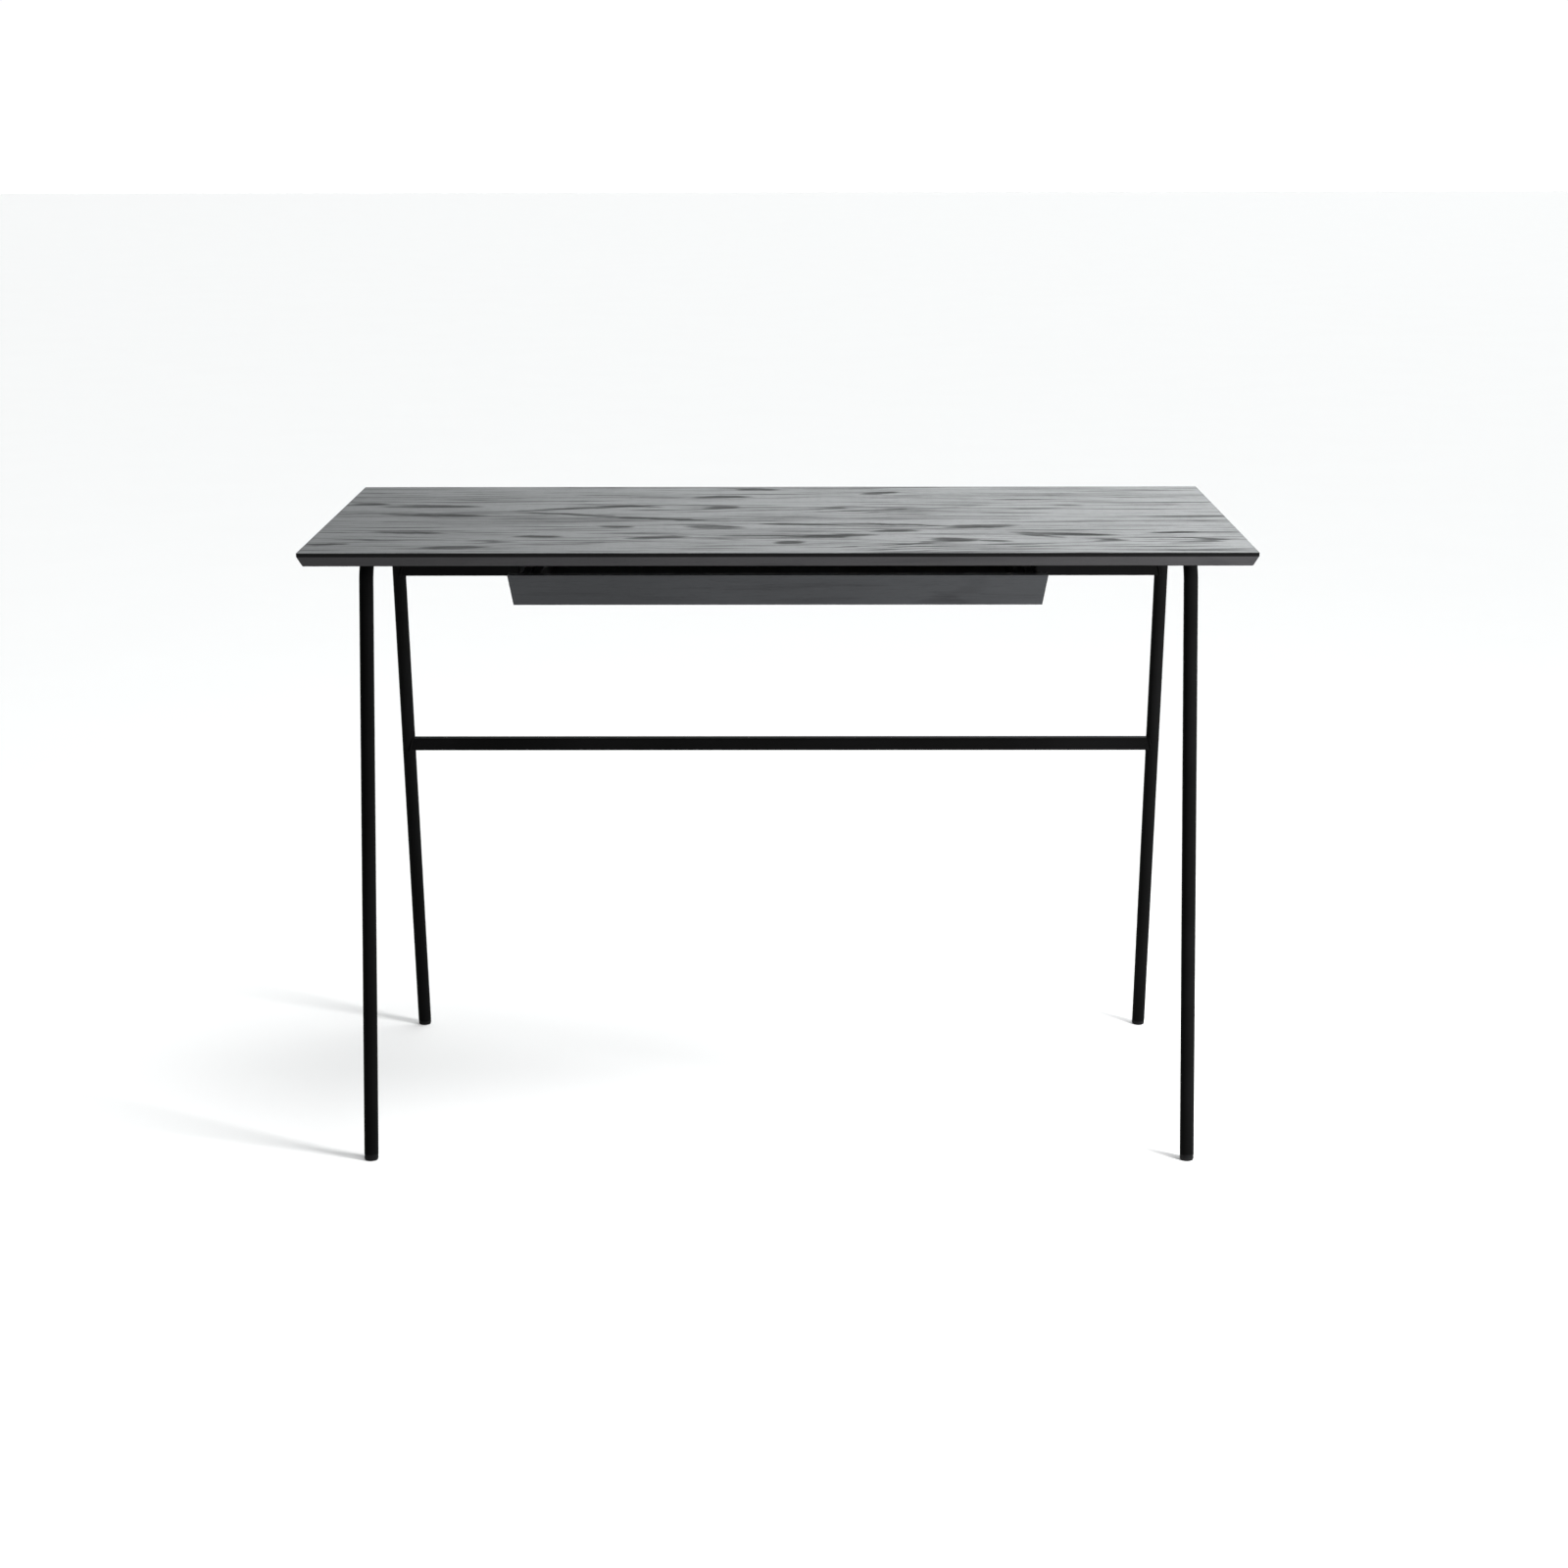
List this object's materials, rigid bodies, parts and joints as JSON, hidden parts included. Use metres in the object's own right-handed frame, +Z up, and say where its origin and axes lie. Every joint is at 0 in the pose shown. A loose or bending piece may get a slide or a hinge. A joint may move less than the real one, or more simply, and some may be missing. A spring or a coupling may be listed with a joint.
{
  "type": "writing desk",
  "caption": "Writing desk with a thin under-bevelled dark wood top, leaning round-tube steel legs, rear rails and one shallow central drawer.",
  "frame": {"origin": "on the floor under the middle of the top", "axes": "+X to the user's right, +Y from the front to the back, +Z up"},
  "size_m": [1.1, 0.56, 0.74],
  "materials": {
    "stained_lipping": "satin black-stained solid wood",
    "stained_veneer": "satin black-stained open-grain veneer",
    "core_board": "raw fibreboard",
    "black_steel": "fine-texture black powder coat",
    "zinc_steel": "zinc plated",
    "black_plastic": "matte black",
    "drawer_board": "black-stained plywood",
    "beech_dowel": "raw beech"
  },
  "bodies": {
    "desk": {"tabletop_core": "core_board", "top_veneer": "stained_veneer", "underside_veneer": "stained_veneer", "front_lipping": "stained_lipping", "rear_lipping": "stained_lipping", "left_lipping": "stained_lipping", "right_lipping": "stained_lipping", "left_side_frame": "black_steel", "right_side_frame": "black_steel", "rear_rail": "black_steel", "stretcher": "black_steel", "front_left_tab": "black_steel", "front_right_tab": "black_steel", "rear_left_tab": "black_steel", "rear_right_tab": "black_steel", "front_left_foot": "black_plastic", "front_right_foot": "black_plastic", "rear_left_foot": "black_plastic", "rear_right_foot": "black_plastic", "tab_screws": "zinc_steel", "hanger_screws": "zinc_steel", "slide_bolts": "zinc_steel", "left_hanger": "black_steel", "right_hanger": "black_steel", "left_slide_outer": "zinc_steel", "right_slide_outer": "zinc_steel"},
    "drawer": {"drawer_front": "stained_lipping", "drawer_left_side": "drawer_board", "drawer_right_side": "drawer_board", "drawer_back": "drawer_board", "drawer_bottom": "drawer_board", "drawer_dowels": "beech_dowel", "drawer_back_screws": "zinc_steel", "drawer_bottom_screws": "zinc_steel", "slide_screws": "zinc_steel", "left_slide_inner": "zinc_steel", "right_slide_inner": "zinc_steel"},
    "left_slide_member": {"left_slide_middle": "zinc_steel"},
    "right_slide_member": {"right_slide_middle": "zinc_steel"}
  },
  "joints": [
    {"name": "drawer_slide", "type": "slide", "parent": "desk", "child": "drawer", "axis": [0, -1, 0], "range_m": [0, 0.28]},
    {"name": "left_slide_extension", "type": "slide", "parent": "desk", "child": "left_slide_member", "axis": [0, -1, 0], "range_m": [0, 0.14]},
    {"name": "right_slide_extension", "type": "slide", "parent": "desk", "child": "right_slide_member", "axis": [0, -1, 0], "range_m": [0, 0.14]}
  ],
  "couplings": [
    {"joint": "left_slide_extension", "follows": "drawer_slide", "ratio": 0.5},
    {"joint": "right_slide_extension", "follows": "drawer_slide", "ratio": 0.5}
  ]
}
